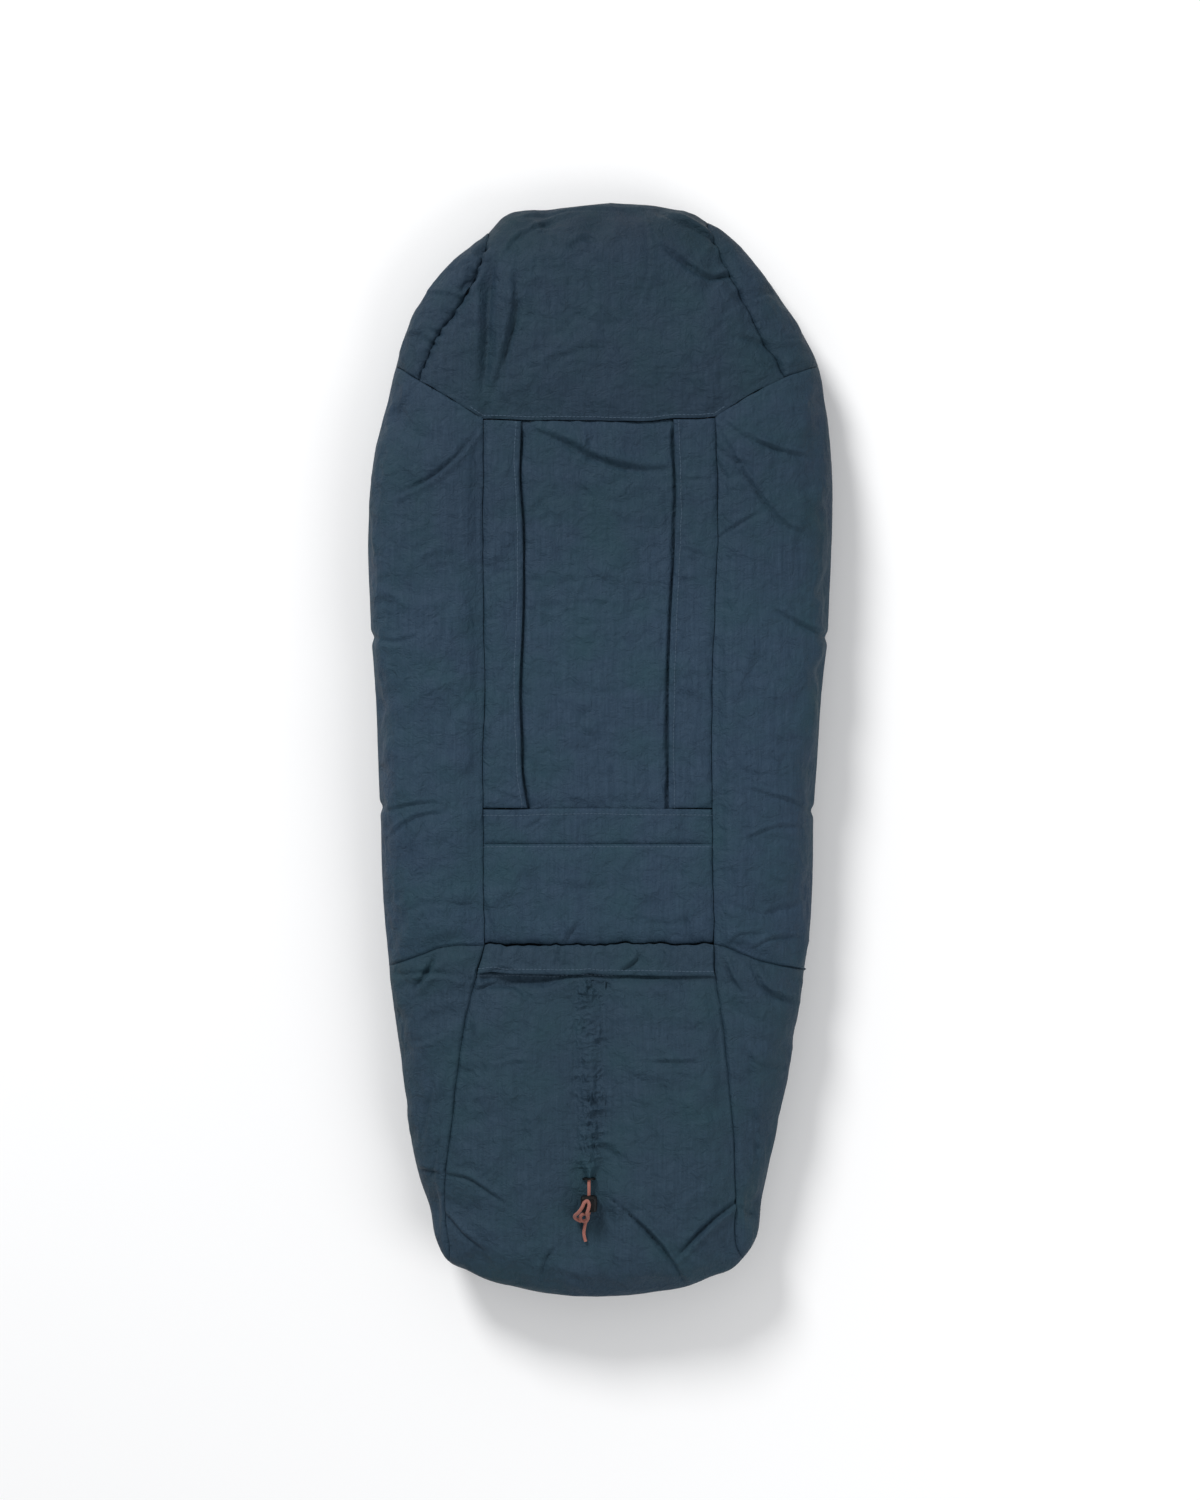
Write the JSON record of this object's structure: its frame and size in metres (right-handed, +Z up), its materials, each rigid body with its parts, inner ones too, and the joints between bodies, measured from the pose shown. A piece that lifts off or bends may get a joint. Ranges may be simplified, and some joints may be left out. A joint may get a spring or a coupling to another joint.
{
  "type": "stroller footmuff",
  "caption": "Padded hooded footmuff for a pushchair seat: zipped front cover, harness and crotch slots under flaps, and a drawcord foot pouch.",
  "frame": {"origin": "centre of the footprint on the floor that it lies on, front down", "axes": "+Y towards the head end, +Z up through the back, +X to the right as seen from above"},
  "size_m": [0.4272, 1, 0.0989],
  "materials": {
    "shell_nylon": "matt woven nylon, padded",
    "hood_nylon": "matt woven nylon, padded",
    "fleece": "brushed fleece",
    "binding": "woven tape",
    "wadding": "polyester wadding",
    "zip_tape": "woven tape with nylon coil",
    "zip_metal": "black enamel",
    "cord_coral": "braided polyester cord",
    "lock_plastic": "moulded acetal",
    "spring_steel": "drawn wire"
  },
  "bodies": {
    "shell": {"hood_panel": "hood_nylon", "hood_wing_left": "hood_nylon", "hood_wing_right": "hood_nylon", "side_panel_left": "shell_nylon", "side_panel_right": "shell_nylon", "back_panel": "shell_nylon", "slot_facing_left": "shell_nylon", "slot_facing_right": "shell_nylon", "crotch_facing": "shell_nylon", "seat_panel": "shell_nylon", "foot_panel": "shell_nylon", "foot_gusset_left": "shell_nylon", "foot_gusset_right": "shell_nylon", "foot_back": "wadding", "foot_lining": "fleece", "back_insulation": "wadding", "back_lining": "fleece", "hood_lining": "fleece", "hood_binding": "binding", "cord_channel": "shell_nylon", "cord_eyelet": "lock_plastic", "drawcord_hidden": "cord_coral", "drawcord_free": "cord_coral", "drawcord_knot": "cord_coral", "drawcord_tail": "cord_coral", "zip_chain_left_shell": "zip_tape", "zip_chain_right_shell": "zip_tape", "zip_stop_left_foot": "zip_metal", "zip_stop_left_top": "zip_metal", "zip_stop_right_foot": "zip_metal", "zip_stop_right_top": "zip_metal"},
    "cover": {"cover_panel": "shell_nylon", "cover_insulation": "wadding", "cover_lining": "fleece", "cover_binding": "binding", "zip_chain_left_cover": "zip_tape", "zip_chain_right_cover": "zip_tape"},
    "slider_left": {"zip_slider_left": "zip_metal"},
    "slider_right": {"zip_slider_right": "zip_metal"},
    "pull_left": {"zip_pull_left": "zip_metal"},
    "pull_right": {"zip_pull_right": "zip_metal"},
    "flap_left": {"harness_flap_left": "shell_nylon"},
    "flap_right": {"harness_flap_right": "shell_nylon"},
    "crotch": {"crotch_flap": "shell_nylon"},
    "band": {"foot_band": "shell_nylon"},
    "lock": {"lock_body": "lock_plastic", "lock_spring": "spring_steel"},
    "button": {"lock_plunger": "lock_plastic"}
  },
  "joints": [
    {"name": "cover_open", "type": "hinge", "parent": "shell", "child": "cover", "pos_m": [0, -0.47, 0.0153], "axis": [-1, 0, 0], "range_deg": [0, 180]},
    {"name": "zip_left_slide", "type": "slide", "parent": "shell", "child": "slider_left", "axis": [0.0606, -0.9982, 0], "range_m": [0, 0.6]},
    {"name": "zip_pull_left_swing", "type": "hinge", "parent": "slider_left", "child": "pull_left", "pos_m": [-0.15543, 0.1938, 0.00275], "axis": [-1, 0, 0], "range_deg": [0, 120]},
    {"name": "harness_flap_left_lift", "type": "hinge", "parent": "shell", "child": "flap_left", "pos_m": [-0.1048, 0.11975, 0.08], "axis": [0, -1, 0], "range_deg": [0, 45]},
    {"name": "zip_right_slide", "type": "slide", "parent": "shell", "child": "slider_right", "axis": [-0.0606, -0.9982, 0], "range_m": [0, 0.6]},
    {"name": "zip_pull_right_swing", "type": "hinge", "parent": "slider_right", "child": "pull_right", "pos_m": [0.15543, 0.1938, 0.00275], "axis": [-1, 0, 0], "range_deg": [0, 120]},
    {"name": "harness_flap_right_lift", "type": "hinge", "parent": "shell", "child": "flap_right", "pos_m": [0.1048, 0.11975, 0.08], "axis": [0, 1, 0], "range_deg": [0, 45]},
    {"name": "crotch_flap_lift", "type": "hinge", "parent": "shell", "child": "crotch", "pos_m": [0, -0.0865, 0.08], "axis": [1, 0, 0], "range_deg": [0, 45]},
    {"name": "foot_band_lift", "type": "hinge", "parent": "shell", "child": "band", "pos_m": [0, -0.1783, 0.08], "axis": [-1, 0, 0], "range_deg": [0, 45]},
    {"name": "cord_lock_slide", "type": "slide", "parent": "shell", "child": "lock", "axis": [0, 1, 0], "range_m": [0, 0.007]},
    {"name": "cord_lock_press", "type": "slide", "parent": "lock", "child": "button", "axis": [0, 0, -1], "range_m": [0, 0.0022], "stiffness_N_per_m": 300, "springref_m": -0.002, "deforming": ["lock_spring"]}
  ],
  "couplings": [
    {"joint": "zip_left_slide", "follows": "cover_open", "m_per_rad": 0.1909},
    {"joint": "zip_right_slide", "follows": "cover_open", "m_per_rad": 0.1909}
  ]
}
